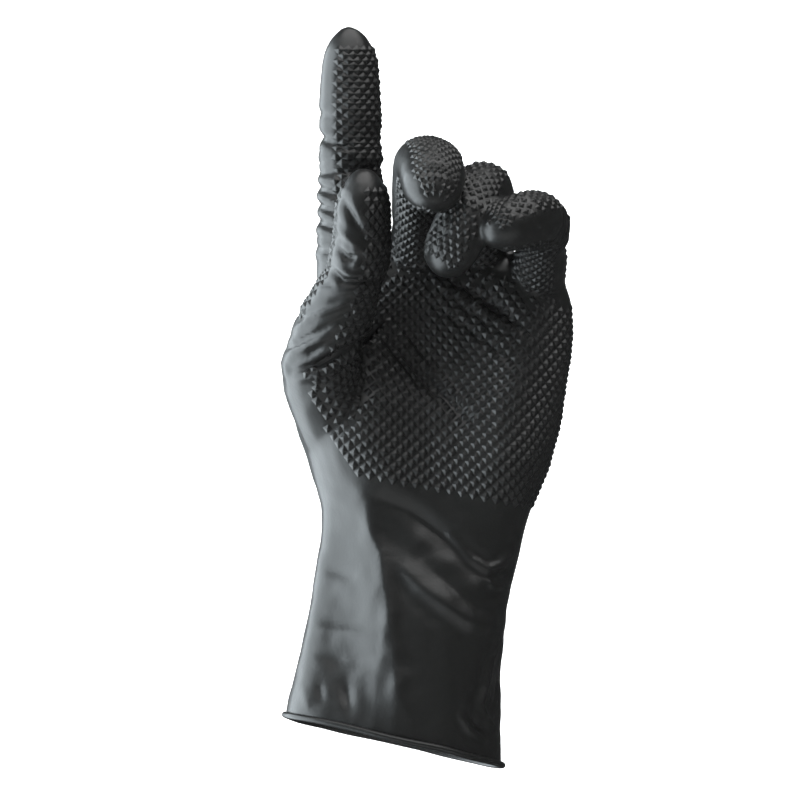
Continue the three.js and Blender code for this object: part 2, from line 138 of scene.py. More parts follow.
# Folds seen on the front of the glove. Each lies on the hand, which is the palm, the wrist and the cuff, or
# on the thumb stall, or on the thenar, which is both. It follows a line through points (across, up). Lengths
# are in millimetres, and a rise below zero is a groove.
FRONT_FOLDS = (
    {
        "on": "hand",
        "line": ((-10, 87), (-8, 74), (-4, 66), (-2, 53), (0, 40), (2, 18), (6, 9)),
        "width": 3.5,
        "rise": 0.8,
    },
    {"on": "hand", "line": ((-8, 86), (6, 80), (18, 71), (27, 64)), "width": 4.5, "rise": -1.5},
    {
        "on": "hand",
        "line": ((20, 72), (27, 64), (33, 60), (38, 62), (42, 67)),
        "width": 2.0,
        "rise": 1.3,
    },
    {"on": "hand", "line": ((1, 63), (9, 55), (18, 48), (25, 43), (35, 40)), "width": 3.5, "rise": 1.0},
    {"on": "hand", "line": ((10, 64), (20, 55), (30, 47), (36, 46)), "width": 3.5, "rise": -1.0},
    {"on": "hand", "line": ((32, 57), (35, 54), (39, 54)), "width": 1.5, "rise": 1.2},
    {"on": "hand", "line": ((34, 60), (37, 58), (40, 59)), "width": 1.2, "rise": -0.9},
    {
        "on": "hand",
        "line": ((37, 35), (34, 28), (32, 20), (30, 14), (32, 9), (35, 5)),
        "width": 1.8,
        "rise": 1.4,
    },
    {"on": "hand", "line": ((40, 30), (37, 20), (35, 12)), "width": 2.0, "rise": -1.3},
    {"on": "hand", "line": ((23, 11), (26, 6), (31, 2)), "width": 1.4, "rise": 1.1},
    {"on": "hand", "line": ((26, 12), (29, 7), (33, 4)), "width": 1.3, "rise": -0.9},
    {"on": "hand", "line": ((-16, 21), (-15, 13)), "width": 2.4, "rise": -0.6},
    {"on": "hand", "line": ((-25.5, 21), (-24.5, 15)), "width": 2.2, "rise": -0.6},
    {"on": "hand", "line": ((-31, 20), (-29, 12)), "width": 2.0, "rise": 0.4},
    {"on": "hand", "line": ((-28, 31), (-16, 29), (-6, 31)), "width": 4.0, "rise": -0.5},
    {"on": "hand", "line": ((-28, 39), (-14, 38), (-4, 38)), "width": 3.5, "rise": 0.5},
    {"on": "hand", "line": ((-24, 60), (-12, 57)), "width": 3.0, "rise": -0.5},
    {"on": "hand", "line": ((-6, 144), (8, 128), (26, 112)), "width": 2.5, "rise": -0.9},
    {"on": "hand", "line": ((-3, 148), (12, 130), (30, 114)), "width": 2.0, "rise": 0.5},
    {"on": "hand", "line": ((21, 161), (34, 152), (47, 143)), "width": 2.2, "rise": -1.0},
    {"on": "hand", "line": ((14, 161), (30, 151), (48, 139)), "width": 2.0, "rise": 0.8},
    {"on": "hand", "line": ((10, 155), (26, 144), (44, 131)), "width": 1.8, "rise": -0.6},
    {
        "on": "thenar",
        "line": ((-34, 143), (-27, 147.5), (-18, 151), (-12, 154)),
        "width": 1.5,
        "rise": 1.0,
    },
    {
        "on": "thenar",
        "line": ((-33, 139.5), (-26, 143), (-17, 147), (-11, 150)),
        "width": 1.3,
        "rise": -0.8,
    },
    {"on": "thenar", "line": ((-36.5, 137), (-29.5, 140), (-21, 144)), "width": 1.3, "rise": -1.0},
    {"on": "thenar", "line": ((-36.5, 134.5), (-29.5, 137.5), (-22, 140.5)), "width": 1.4, "rise": 0.9},
    {"on": "thenar", "line": ((-36, 131.5), (-29.5, 134), (-24, 136.5)), "width": 1.2, "rise": -0.9},
    {
        "on": "thenar",
        "line": ((-35, 129.5), (-27, 130.5), (-21, 133.5), (-15.5, 137), (-8.5, 140.5), (-4, 146)),
        "width": 1.9,
        "rise": -2.2,
    },
    {"on": "thenar", "line": ((-33, 126.5), (-26, 127.5), (-20, 130)), "width": 2.0, "rise": 0.7},
    {
        "on": "thumb",
        "line": ((-17, 187), (-15.5, 184), (-12, 178), (-7, 172)),
        "width": 2.0,
        "rise": -1.4,
    },
    {"on": "thumb", "line": ((-19, 178), (-15, 173.5), (-9, 168)), "width": 1.8, "rise": 1.0},
    {"on": "thumb", "line": ((-19, 171), (-15.5, 167), (-12, 167.5)), "width": 1.5, "rise": -1.6},
    {"on": "thumb", "line": ((-13.5, 170), (-11.5, 167), (-13, 163.5)), "width": 1.3, "rise": 0.9},
    {
        "on": "thumb",
        "line": ((-21.5, 164), (-17, 159.5), (-10, 159), (-5, 160)),
        "width": 1.5,
        "rise": -1.5,
    },
    {"on": "thumb", "line": ((-19, 165), (-14, 161.5), (-8, 162)), "width": 1.2, "rise": 0.7},
    {"on": "thumb", "line": ((-24, 156.5), (-17, 155.5), (-8, 156.5)), "width": 1.8, "rise": 0.8},
)

# The profile across a crease and across a fold, in shares of its width and depth, and how far round to the
# side the front's folds fade out
CREASE_PROFILE = {"sharpness": 1.3, "shoulder_at": 2.4, "shoulder_width": 1.3, "shoulder": 0.35}
FOLD_PROFILE = {
    "sharpness": 1.5,
    "crest_width": 0.65,
    "flank_at": 1.4,
    "flank_width": 0.8,
    "flank": 0.35,
    "end": 0.03,
}
FRONT_FADE = 0.25

# The film's unevenness: the sizes of its waves in millimetres, and the share of each
CRUMPLE_WAVES = ((14, 1), (5.5, 0.45))

# The even mesh of the outside is smoothed and swelled a little. The inside wall and the path of the bead come
# from a coarser one without creases. Sizes are in millimetres.
FILM_PASSES = 16
FILM_SWELL = 0.25
CORE_VOXEL = 2.2
CORE_PASSES = 4

# The rolled bead stands out from the rim, waves up and down and swells here and there. BEAD_WAVES and
# BEAD_SWELLS are how fine these are, by the metre. BEAD_SHIFT keeps the swells from following the waves.
BEAD_STAND = 1.0 * MM
BEAD_WAVE = 0.4 * MM
BEAD_WAVES = 60
BEAD_SWELL = 0.12
BEAD_SWELLS = 90
BEAD_SHIFT = Vector((3, 0, 0))

# A stall leaves the hand at this share of its length, and its film reaches out this many of its radii
STALL_START = 0.24
STALL_REACH = 1.45

# Zones of the grip round each stall: from and to in degrees from the pad side, and the share of the length
# where they start. Its sizes are the pitch round the stall and the step along it, in millimetres. On the
# rounded tip the grip stops at these degrees past its widest ring.
GRIP_ZONES = {
    "thumb": ((-62, 70, STALL_START), (132, 228, 0.49)),
    "index": ((-51, 78, STALL_START), (130, 230, STALL_START)),
    "middle": ((-60, 60, STALL_START), (118, 235, STALL_START)),
    "ring": ((-60, 60, STALL_START), (128, 238, STALL_START)),
    "little": ((-60, 60, STALL_START), (128, 235, STALL_START)),
}
GRIP_SIZES = {
    "thumb": (3.9, 2.1),
    "index": (4.7, 1.95),
    "middle": (3.1, 1.7),
    "ring": (3.2, 1.75),
    "little": (3.1, 1.7),
}
GRIP_TIP_ENDS = {"thumb": 25, "index": 12, "middle": 72, "ring": 25, "little": 30}

# The grip of the palm and the back. Its rows fall to the right by GRIP_ROW_FALL degrees, and the lowest one
# is at GRIP_LOWEST. The smooth band up the thumb side ends at BARE_BAND on the front and at BARE_BAND_BACK on
# the back, and the ball of the thumb is smooth above THENAR_SMOOTH. Rays go out all round from BODY_AXIS, and
# the reaches say how many of them the rows of the palm and of the back follow each way. HAND_REACH is how far
# a ray goes. Lengths are in millimetres.
GRIP_ROW_FALL = 11
GRIP_LOWEST = 91.5
BARE_BAND = {
    "height": (80, 95, 103, 115, 123, 131, 145, 175),
    "front": (-14, -14.3, -20.5, -26, -29.5, -31, -26, -22),
}
THENAR_SMOOTH = {"across": (-36, -31, -9, 0), "height": (127, 132, 156, 158)}
HAND_ROWS = 46
RAYS_ROUND = 240
PALM_REACH = 76
BACK_REACH = 64
HAND_REACH = 70
BARE_BAND_BACK = -16
BODY_AXIS = {"height": (70, 100, 130, 170), "across": (11, 12.5, 13, 13), "back": (12, 16, 17, 17)}


def rim_height(x, y, z):
    """Height above the slanted rim."""
    return z + RIM_ACROSS * x + RIM_BACK * y


def bell(distance, width):
    """1 at the middle, falling to none at about twice the width away."""
    return np.exp(-((distance / width) ** 2))


def smooth_step(low, high, value):
    """0 below low, 1 above high, and an even rise from one to the other."""
    share = np.clip((value - low) / (high - low), 0, 1)
    return share * share * (3 - 2 * share)


class Stall:
    """The middle line of a finger stall, in millimetres, with its side and pad directions.

    The line has a point at about every STEP. A bend takes up to BEND_SHARE of the shorter bone beside it, in
    BEND_POINTS points. Clouds of points are placed a CHUNK at a time, which saves memory.
    """

    STEP = 0.5
    BEND_SHARE = 0.45
    BEND_POINTS = 20
    CHUNK = 20000

    def __init__(self, digit):
        self.radius = (digit["breadth"] + digit["depth"]) / 4
        points = self.bone_points(digit)
        spans = [0.0]
        for one, two in zip(points, points[1:]):
            spans.append(spans[-1] + (two - one).length)
        self.total = spans[-1]
        count = int(self.total / self.STEP)
        self.along = np.linspace(0, self.total, count)
        cloud = np.array(points)
        self.points = np.stack([np.interp(self.along, spans, cloud[:, axis]) for axis in range(3)], axis=1)
        self.tangents = np.gradient(self.points, axis=0)
        self.tangents /= np.linalg.norm(self.tangents, axis=1, keepdims=True)
        self.frame_along(radians(digit["turn"]))

    @classmethod
    def bone_points(cls, digit):
        """The middle line through the bones, with a round bend at each joint."""
        joints = [Vector(digit["root"])]
        for share, lean, reach in digit["bones"]:
            lean, reach = radians(lean), radians(reach)
            way = Vector((cos(reach) * sin(lean), -sin(reach), cos(reach) * cos(lean)))
            joints.append(joints[-1] + way * share * digit["length"])
        points = [joints[0]]
        for before, joint, after in zip(joints, joints[1:], joints[2:]):
            incoming, outgoing = joint - before, after - joint
            run = min(cls.BEND_SHARE * min(incoming.length, outgoing.length), digit["depth"] / 2)
            bend = incoming.angle(outgoing)
            handle = 4 / 3 * run / tan(bend / 2) * tan(bend / 4)
            incoming.normalize()
            outgoing.normalize()
            start, end = joint - incoming * run, joint + outgoing * run
            bow = (start, start + incoming * handle, end - outgoing * handle, end)
            points += interpolate_bezier(*bow, cls.BEND_POINTS)
        return points + [joints[-1]]

    def frame_along(self, turn):
        """Carries the side direction along the line without twist, and takes the pad direction from it."""
        tangent = Vector(self.tangents[0])
        side = Vector((cos(turn), sin(turn), 0))
        side = (side - tangent * side.dot(tangent)).normalized()
        sides = []
        for way in self.tangents:
            following = Vector(way)
            side = tangent.rotation_difference(following) @ side
            tangent = following
            sides.append(side.copy())
        self.sides = np.array(sides)
        self.pads = np.cross(self.sides, self.tangents)

    def place(self, cloud):
        """For each point: its distance along, its distance from the line, its angle from the pad side."""
        nearest = np.empty(len(cloud), dtype=int)
        for start in range(0, len(cloud), self.CHUNK):
            part = slice(start, start + self.CHUNK)
            gaps = ((cloud[part, None, :] - self.points[None, :, :]) ** 2).sum(axis=2)
            nearest[part] = gaps.argmin(axis=1)
        arm = cloud - self.points[nearest]
        along = self.along[nearest] + (arm * self.tangents[nearest]).sum(axis=1)
        angle = np.arctan2((arm * self.sides[nearest]).sum(axis=1), (arm * self.pads[nearest]).sum(axis=1))
        return along, np.linalg.norm(arm, axis=1), angle


STALLS = {name: Stall(digit) for name, digit in DIGITS.items()}
THUMB = list(STALLS).index("thumb")


# Film


def outer_skin():
    """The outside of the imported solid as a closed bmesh, run on below the rim so that it can be trimmed."""
    skin = bmesh.new()
    skin.from_mesh(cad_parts[NODE].data)
    bmesh.ops.remove_doubles(skin, verts=skin.verts, dist=0.01 * MM)
    rim = [face for face in skin.faces if all(rim_height(*vert.co) < RIM_CUT for vert in face.verts)]
    bmesh.ops.delete(skin, geom=rim, context="FACES")
    top = max(skin.verts, key=lambda vert: vert.co.z)
    reached, front = {top}, [top]
    while front:
        vert = front.pop()
        for edge in vert.link_edges:
            other = edge.other_vert(vert)
            if other not in reached:
                reached.add(other)
                front.append(other)
    bmesh.ops.delete(skin, geom=[vert for vert in skin.verts if vert not in reached], context="VERTS")
    edges = [edge for edge in skin.edges if edge.is_boundary]
    grown = bmesh.ops.extrude_edge_only(skin, edges=edges)["geom"]
    for item in grown:
        if isinstance(item, bmesh.types.BMVert):
            item.co.z -= rim_height(*item.co) + RIM_RUN
    edges = [edge for edge in skin.edges if edge.is_boundary]
    bmesh.ops.triangle_fill(skin, edges=edges, use_beauty=True)
    bmesh.ops.recalc_face_normals(skin, faces=skin.faces)
    return skin


def mesh_object(name, source):
    """A new object in the scene, from a bmesh, which is used up, or from a mesh."""
    mesh = source
    if isinstance(source, bmesh.types.BMesh):
        mesh = bpy.data.meshes.new(name)
        source.to_mesh(mesh)
        source.free()
    piece = bpy.data.objects.new(name, mesh)
    bpy.context.scene.collection.objects.link(piece)
    return piece


def applied(piece):
    """The piece's mesh with its modifiers applied."""
    graph = bpy.context.evaluated_depsgraph_get()
    return bpy.data.meshes.new_from_object(piece.evaluated_get(graph))


def remeshed(name, skin, voxel, passes):
    """The closed skin as an even mesh of that voxel size in millimetres, smoothed."""
    rough = mesh_object(name, skin)
    remesh = rough.modifiers.new("Even mesh", "REMESH")
    remesh.mode = "VOXEL"
    remesh.voxel_size = voxel * MM
    soften = rough.modifiers.new("Soften", "SMOOTH")
    soften.factor = 0.5
    soften.iterations = passes
    mesh = applied(rough)
    bpy.data.objects.remove(rough)
    return mesh


def plain_core():
    """The skin as a coarse even mesh without creases."""
    return remeshed("glove_core", outer_skin(), CORE_VOXEL, CORE_PASSES)


def mesh_arrays(mesh):
    """Corner places in millimetres, and normals."""
    cloud = np.empty(len(mesh.vertices) * 3)
    mesh.vertices.foreach_get("co", cloud)
    normals = np.empty(len(mesh.vertices) * 3, dtype=np.float32)
    mesh.vertex_normals.foreach_get("vector", normals)
    return cloud.reshape(-1, 3) / MM, normals.reshape(-1, 3).astype(float)


def owner_of(cloud):
    """The stall that each point belongs to, or none, with its place on it."""
    best = np.full(len(cloud), STALL_REACH)
    owners = np.full(len(cloud), -1)
    along, angle = np.zeros(len(cloud)), np.zeros(len(cloud))
    for number, stall in enumerate(STALLS.values()):
        at, gap, turned = stall.place(cloud)
        closer = (gap / stall.radius < best) & (at > STALL_START * stall.total)
        best[closer] = gap[closer] / stall.radius
        owners[closer] = number
        along[closer], angle[closer] = at[closer], turned[closer]
    return owners, along, angle


def crease_depths(owners, along, angle):
    """How far each point is pulled in by the creases round the stalls."""
    pull = np.zeros(len(owners))
    names = list(STALLS)
    profile = CREASE_PROFILE
    for crease in CREASES:
        number = names.index(crease["digit"])
        mine = owners == number
        turned = (angle[mine] - radians(crease["facing"]) + pi) % (2 * pi) - pi
        span = radians(crease["span"])
        window = np.clip(1 - (turned / span) ** 2, 0, 1)
        middle = crease["at"] * STALLS[crease["digit"]].total + crease["slope"] * turned
        gap = np.abs(along[mine] - middle)
        width = crease["width"]
        valley = np.exp(-((gap / width) ** profile["sharpness"]))
        shoulder = bell(gap - profile["shoulder_at"] * width, profile["shoulder_width"] * width)
        pull[mine] += crease["depth"] * window * (valley - profile["shoulder"] * shoulder)
    return pull


def line_gap(cloud, line):
    """Distance on the front view from a line of points, and the share of the way along it."""
    flat = cloud[:, (0, 2)]
    best = np.full(len(flat), np.inf)
    share = np.zeros(len(flat))
    steps = len(line) - 1
    for step, (start, end) in enumerate(zip(line, line[1:])):
        start, run = np.array(start, float), np.array(end, float) - np.array(start, float)
        reach = np.clip(((flat - start) @ run) / (run @ run), 0, 1)
        gap = np.linalg.norm(flat - start - reach[:, None] * run, axis=1)
        closer = gap < best
        best[closer], share[closer] = gap[closer], (step + reach[closer]) / steps
    return best, share


def fold_rises(cloud, normals, owners):
    """How far each point is raised by the folds on the front."""
    rise = np.zeros(len(cloud))
    places = {"hand": owners < 0, "thumb": owners == THUMB, "thenar": (owners < 0) | (owners == THUMB)}
    front = smooth_step(-FRONT_FADE, FRONT_FADE, -normals[:, 1])
    profile = FOLD_PROFILE
    for fold in FRONT_FOLDS:
        gap, share = line_gap(cloud, fold["line"])
        width = fold["width"]
        ends = np.sin(pi * np.clip(share, profile["end"], 1 - profile["end"])) ** 0.5
        crest = np.exp(-((gap / (width * profile["crest_width"])) ** profile["sharpness"]))
        flank = bell(gap - width * profile["flank_at"], width * profile["flank_width"])
        rise += fold["rise"] * ends * (crest - profile["flank"] * flank) * places[fold["on"]]
    return rise * front


def crumple(cloud, settings):
    """Shallow unevenness of the stretched film."""
    rise = np.empty(len(cloud))
    for index, point in enumerate(cloud):
        spot = Vector(point)
        rise[index] = sum(share * noise.noise(spot / size) for size, share in CRUMPLE_WAVES)
    return rise * settings.crumple


def trimmed(mesh):
    """A bmesh of the closed mesh, cut off at the slanted rim."""
    skin = bmesh.new()
    skin.from_mesh(mesh)
    everything = skin.verts[:] + skin.edges[:] + skin.faces[:]
    bmesh.ops.bisect_plane(
        skin, geom=everything, dist=1e-7, plane_co=(0, 0, 0), plane_no=RIM_NORMAL, clear_inner=True
    )
    return skin


def move_along_normals(mesh, rise):
    """Moves each corner along its normal by that many millimetres."""
    cloud, normals = mesh_arrays(mesh)
    cloud += normals * rise[:, None]
    mesh.vertices.foreach_set("co", (cloud * MM).astype(np.float32).ravel())
    mesh.update()


def rim_loop(skin):
    """The corners round the open rim of a bmesh, in order."""
    start = next(edge for edge in skin.edges if edge.is_boundary)
    vert, edge = start.verts[0], start
    loop = []
    while vert not in loop[:1]:
        loop.append(vert)
        vert = edge.other_vert(vert)
        edge = next(item for item in vert.link_edges if item.is_boundary and item is not edge)
    return [Vector(vert.co) for vert in loop]


def eased_ring(loop, reach=3):
    """The ring of corners, each moved to the middle of its neighbours up to that many away."""
    steps = range(-reach, reach + 1)
    return [
        sum((loop[(index + step) % len(loop)] for step in steps), Vector()) / len(steps)
        for index in range(len(loop))
    ]


def finish_piece(piece, material, smooth=True):
    """Gives a piece its material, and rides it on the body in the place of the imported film."""
    piece.data.materials.clear()
    piece.data.materials.append(material)
    if smooth:
        piece.data.shade_smooth()
    else:
        piece.data.shade_flat()
    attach(piece, BODY)
    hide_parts(NODE)


# Materials


GRAIN_DEPTH = 0.2 * MM
NITRILE_IOR = 1.52
RUB_SPREAD = 0.1
FLOOR_ROUGHNESS = 0.9


def group_tree(name, inputs, outputs):
    """A shader node group with named sockets."""
    tree = bpy.data.node_groups.new(name, "ShaderNodeTree")
    for label, kind, default in inputs:
        socket = tree.interface.new_socket(label, in_out="INPUT", socket_type=kind)
        socket.default_value = default
    for label, kind in outputs:
        tree.interface.new_socket(label, in_out="OUTPUT", socket_type=kind)
    return tree, tree.nodes.new("NodeGroupInput"), tree.nodes.new("NodeGroupOutput")


def film_grain_group():
    """Fine grain of the dipped film, as a bump."""
    inputs = (("Scale", "NodeSocketFloat", 900.0), ("Strength", "NodeSocketFloat", 0.15))
    tree, entry, leave = group_tree("Film grain", inputs, (("Normal", "NodeSocketVector"),))
    nodes, links = tree.nodes, tree.links
    coords = nodes.new("ShaderNodeTexCoord")
    grain = nodes.new("ShaderNodeTexNoise")
    grain.inputs["Detail"].default_value = 3
    links.new(coords.outputs["Object"], grain.inputs["Vector"])
    links.new(entry.outputs["Scale"], grain.inputs["Scale"])
    bump = nodes.new("ShaderNodeBump")
    bump.inputs["Distance"].default_value = GRAIN_DEPTH
    links.new(grain.outputs["Fac"], bump.inputs["Height"])
    links.new(entry.outputs["Strength"], bump.inputs["Strength"])
    links.new(bump.outputs["Normal"], leave.inputs["Normal"])
    return tree


def rub_group():
    """Uneven rub of the surface: a value round a middle, in soft patches."""
    inputs = (
        ("Scale", "NodeSocketFloat", 60.0),
        ("Middle", "NodeSocketFloat", 0.45),
        ("Spread", "NodeSocketFloat", 0.08),
    )
    tree, entry, leave = group_tree("Rub", inputs, (("Value", "NodeSocketFloat"),))
    nodes, links = tree.nodes, tree.links
    coords = nodes.new("ShaderNodeTexCoord")
    patches = nodes.new("ShaderNodeTexNoise")
    patches.inputs["Detail"].default_value = 4
    links.new(coords.outputs["Object"], patches.inputs["Vector"])
    links.new(entry.outputs["Scale"], patches.inputs["Scale"])
    centred = nodes.new("ShaderNodeMath")
    centred.operation = "SUBTRACT"
    centred.inputs[1].default_value = 0.5
    links.new(patches.outputs["Fac"], centred.inputs[0])
    spread = nodes.new("ShaderNodeMath")
    spread.operation = "MULTIPLY_ADD"
    links.new(centred.outputs[0], spread.inputs[0])
    links.new(entry.outputs["Spread"], spread.inputs[1])
    links.new(entry.outputs["Middle"], spread.inputs[2])
    links.new(spread.outputs[0], leave.inputs["Value"])
    return tree


def film_material(settings):
    """Black satin nitrile."""
    material = bpy.data.materials.get("Nitrile film")
    if material:
        return material
    material = bpy.data.materials.new("Nitrile film")
    material.use_nodes = True
    nodes, links = material.node_tree.nodes, material.node_tree.links
    shader = nodes["Principled BSDF"]
    shader.inputs["Base Color"].default_value = (*settings.colour, 1)
    shader.inputs["IOR"].default_value = NITRILE_IOR
    rub = nodes.new("ShaderNodeGroup")
    rub.node_tree = rub_group()
    rub.inputs["Middle"].default_value = settings.roughness
    rub.inputs["Spread"].default_value = RUB_SPREAD
    links.new(rub.outputs["Value"], shader.inputs["Roughness"])
    grain = nodes.new("ShaderNodeGroup")
    grain.node_tree = film_grain_group()
    grain.inputs["Strength"].default_value = settings.grain
    links.new(grain.outputs["Normal"], shader.inputs["Normal"])
    return material


# Settings


class GloveSettings(bpy.types.PropertyGroup):
    """Sizes and colours of the glove."""

    voxel: bpy.props.FloatProperty(
        name="Mesh size", description="Facet size of the film, in millimetres", default=1.0, min=0.6, max=4
    )
    wall: bpy.props.FloatProperty(
        name="Film", description="Thickness of the film, in millimetres", default=1.0, min=0.2, max=2
    )
    crumple: bpy.props.FloatProperty(
        name="Crumple", description="Height of the unevenness, in millimetres", default=0.45, min=0, max=2
    )
    bead: bpy.props.FloatProperty(
        name="Bead",
        description="Radius of the rolled bead",
        default=1.15 * MM,
        unit="LENGTH",
        subtype="DISTANCE",
    )
    grip_pitch: bpy.props.FloatProperty(
        name="Grip pitch", description="Distance between pyramids in a row, in millimetres", default=4.1
    )
    grip_step: bpy.props.FloatProperty(
        name="Grip row step", description="Distance from one row to the next, in millimetres", default=2.2
    )
    grip_height: bpy.props.FloatProperty(
        name="Grip height", description="Height of the pyramids, in millimetres", default=0.8
    )
    colour: bpy.props.FloatVectorProperty(
        name="Colour",
        description="Colour of the film",
        default=(0.0055, 0.0057, 0.0055),
        subtype="COLOR",
        size=3,
    )
    roughness: bpy.props.FloatProperty(
        name="Roughness", description="Roughness of the film", default=0.39, subtype="FACTOR", min=0, max=1
    )
    grain: bpy.props.FloatProperty(
        name="Grain", description="Strength of the fine grain", default=0.25, subtype="FACTOR", min=0, max=1
    )


class StageSettings(bpy.types.PropertyGroup):
    """The floor, the lights and the camera."""

    floor_height: bpy.props.FloatProperty(
        name="Floor", description="Height of the floor", default=-1.2, unit="LENGTH", subtype="DISTANCE"
    )
    camera_distance: bpy.props.FloatProperty(
        name="Camera distance",
        description="Distance of the camera",
        default=0.95,
        unit="LENGTH",
        subtype="DISTANCE",
    )
    key_power: bpy.props.FloatProperty(
        name="Key light", description="Power of the large light", default=64, unit="POWER"
    )
    top_power: bpy.props.FloatProperty(
        name="Top light", description="Power of the light above", default=10, unit="POWER"
    )
    bounce_power: bpy.props.FloatProperty(
        name="Bounce light", description="Power of the light below", default=0.25, unit="POWER"
    )
    sky_strength: bpy.props.FloatProperty(
        name="Sky", description="Strength of the even light all round", default=0.07, min=0
    )
    floor_lift: bpy.props.FloatProperty(
        name="Floor lift", description="Light that the floor adds by itself", default=0.75, min=0
    )
    floor_colour: bpy.props.FloatVectorProperty(
        name="Floor colour",
        description="Colour of the floor",
        default=(0.9, 0.9, 0.9),
        subtype="COLOR",
        size=3,
    )


# Operators


class GLOVE_OT_film(bpy.types.Operator):
    """Build the film of the glove, with its creases and folds"""

    bl_idname = "glove.film"
    bl_label = "Film"

    def execute(self, context):
        settings = context.scene.glove
        mesh = remeshed("glove_film", outer_skin(), settings.voxel, FILM_PASSES)
        cloud, normals = mesh_arrays(mesh)
        owners, along, angle = owner_of(cloud)
        rise = fold_rises(cloud, normals, owners) + crumple(cloud, settings) + FILM_SWELL
        rise -= crease_depths(owners, along, angle)
        move_along_normals(mesh, rise)
        outside = trimmed(mesh)
        core = plain_core()
        cloud, normals = mesh_arrays(core)
        move_along_normals(core, crumple(cloud, settings) - settings.wall)
        inside = trimmed(core)
        bmesh.ops.reverse_faces(inside, faces=inside.faces)
        inner_mesh = bpy.data.meshes.new("inner")
        inside.to_mesh(inner_mesh)
        inside.free()
        outside.from_mesh(inner_mesh)
        bpy.data.meshes.remove(inner_mesh)
        rim = [edge for edge in outside.edges if edge.is_boundary]
        bmesh.ops.bridge_loops(outside, edges=rim)
        bmesh.ops.recalc_face_normals(outside, faces=outside.faces)
        piece = mesh_object("glove_film", outside)
        finish_piece(piece, film_material(settings))
        return {"FINISHED"}


class GLOVE_OT_bead(bpy.types.Operator):
    """Roll the bead round the rim of the cuff"""

    bl_idname = "glove.bead"
    bl_label = "Rolled bead"

    def execute(self, context):
        settings = context.scene.glove
        skin = trimmed(plain_core())
        loop = rim_loop(skin)
        skin.free()
        middle = sum(loop, Vector()) / len(loop)
        ring = eased_ring(loop)
        curve = bpy.data.curves.new("glove_bead", "CURVE")
        curve.dimensions = "3D"
        curve.bevel_depth = settings.bead
        curve.bevel_resolution = 4
        line = curve.splines.new("NURBS")
        line.points.add(len(ring) - 1)
        line.use_cyclic_u = True
        line.order_u = 4
        line.resolution_u = 3
        for index, spot in enumerate(ring):
            outward = spot - middle
            outward.z = 0
            outward.normalize()
            wave = noise.noise(spot * BEAD_WAVES)
            spot = spot + outward * BEAD_STAND + Vector((0, 0, BEAD_WAVE * wave))
            line.points[index].co = (*spot, 1)
            swell = noise.noise(spot * BEAD_SWELLS + BEAD_SHIFT)
            line.points[index].radius = 1 + BEAD_SWELL * swell
        rolled = bpy.data.objects.new("rolled", curve)
        context.scene.collection.objects.link(rolled)
        mesh = applied(rolled)
        bpy.data.objects.remove(rolled)
        piece = mesh_object("glove_bead", mesh)
        finish_piece(piece, film_material(settings))
        return {"FINISHED"}


# A stud's base and tip, as shares of half its diagonals, its bevel, its depth in the film in millimetres, and
# the room that it keeps to the next, as a share of the even distance between studs
STUD = {"base": 0.96, "tip": 0.2, "bevel": 0.1, "sink": 0.1, "room": 0.78}
NEAR_CELLS = [(x, y, z) for x in (-1, 0, 1) for y in (-1, 0, 1) for z in (-1, 0, 1)]

# A ray from inside ends where the film's normal points this far along it, and is nudged on past other hits
OUTWARD = 0.15
NUDGE = 1e-5

# On a stall the rounded tip starts this many radii before its end, and its rows narrow to no less than this
TIP_START = 0.85
TIP_NARROWEST = 0.8

# A row skips gaps between rays that are wider than this many pitches
WIDEST_GAP = 3


def stud_mesh():
    """One blunt four-sided pyramid of height 1 with its base at 0."""
    stud = bmesh.new()
    bmesh.ops.create_cone(
        stud,
        cap_ends=True,
        segments=4,
        radius1=STUD["base"],
        radius2=STUD["tip"],
        depth=1,
        matrix=Matrix.Translation((0, 0, 0.5)),
    )
    sides = [edge for edge in stud.edges if any(vert.co.z > 0.5 for vert in edge.verts)]
    bmesh.ops.bevel(
        stud,
        geom=sides,
        offset=STUD["bevel"],
        segments=1,
        profile=0.5,
        affect="EDGES",
        material=-1,
        clamp_overlap=True,
    )
    mesh = bpy.data.meshes.new("stud")
    stud.to_mesh(mesh)
    stud.free()
    return mesh


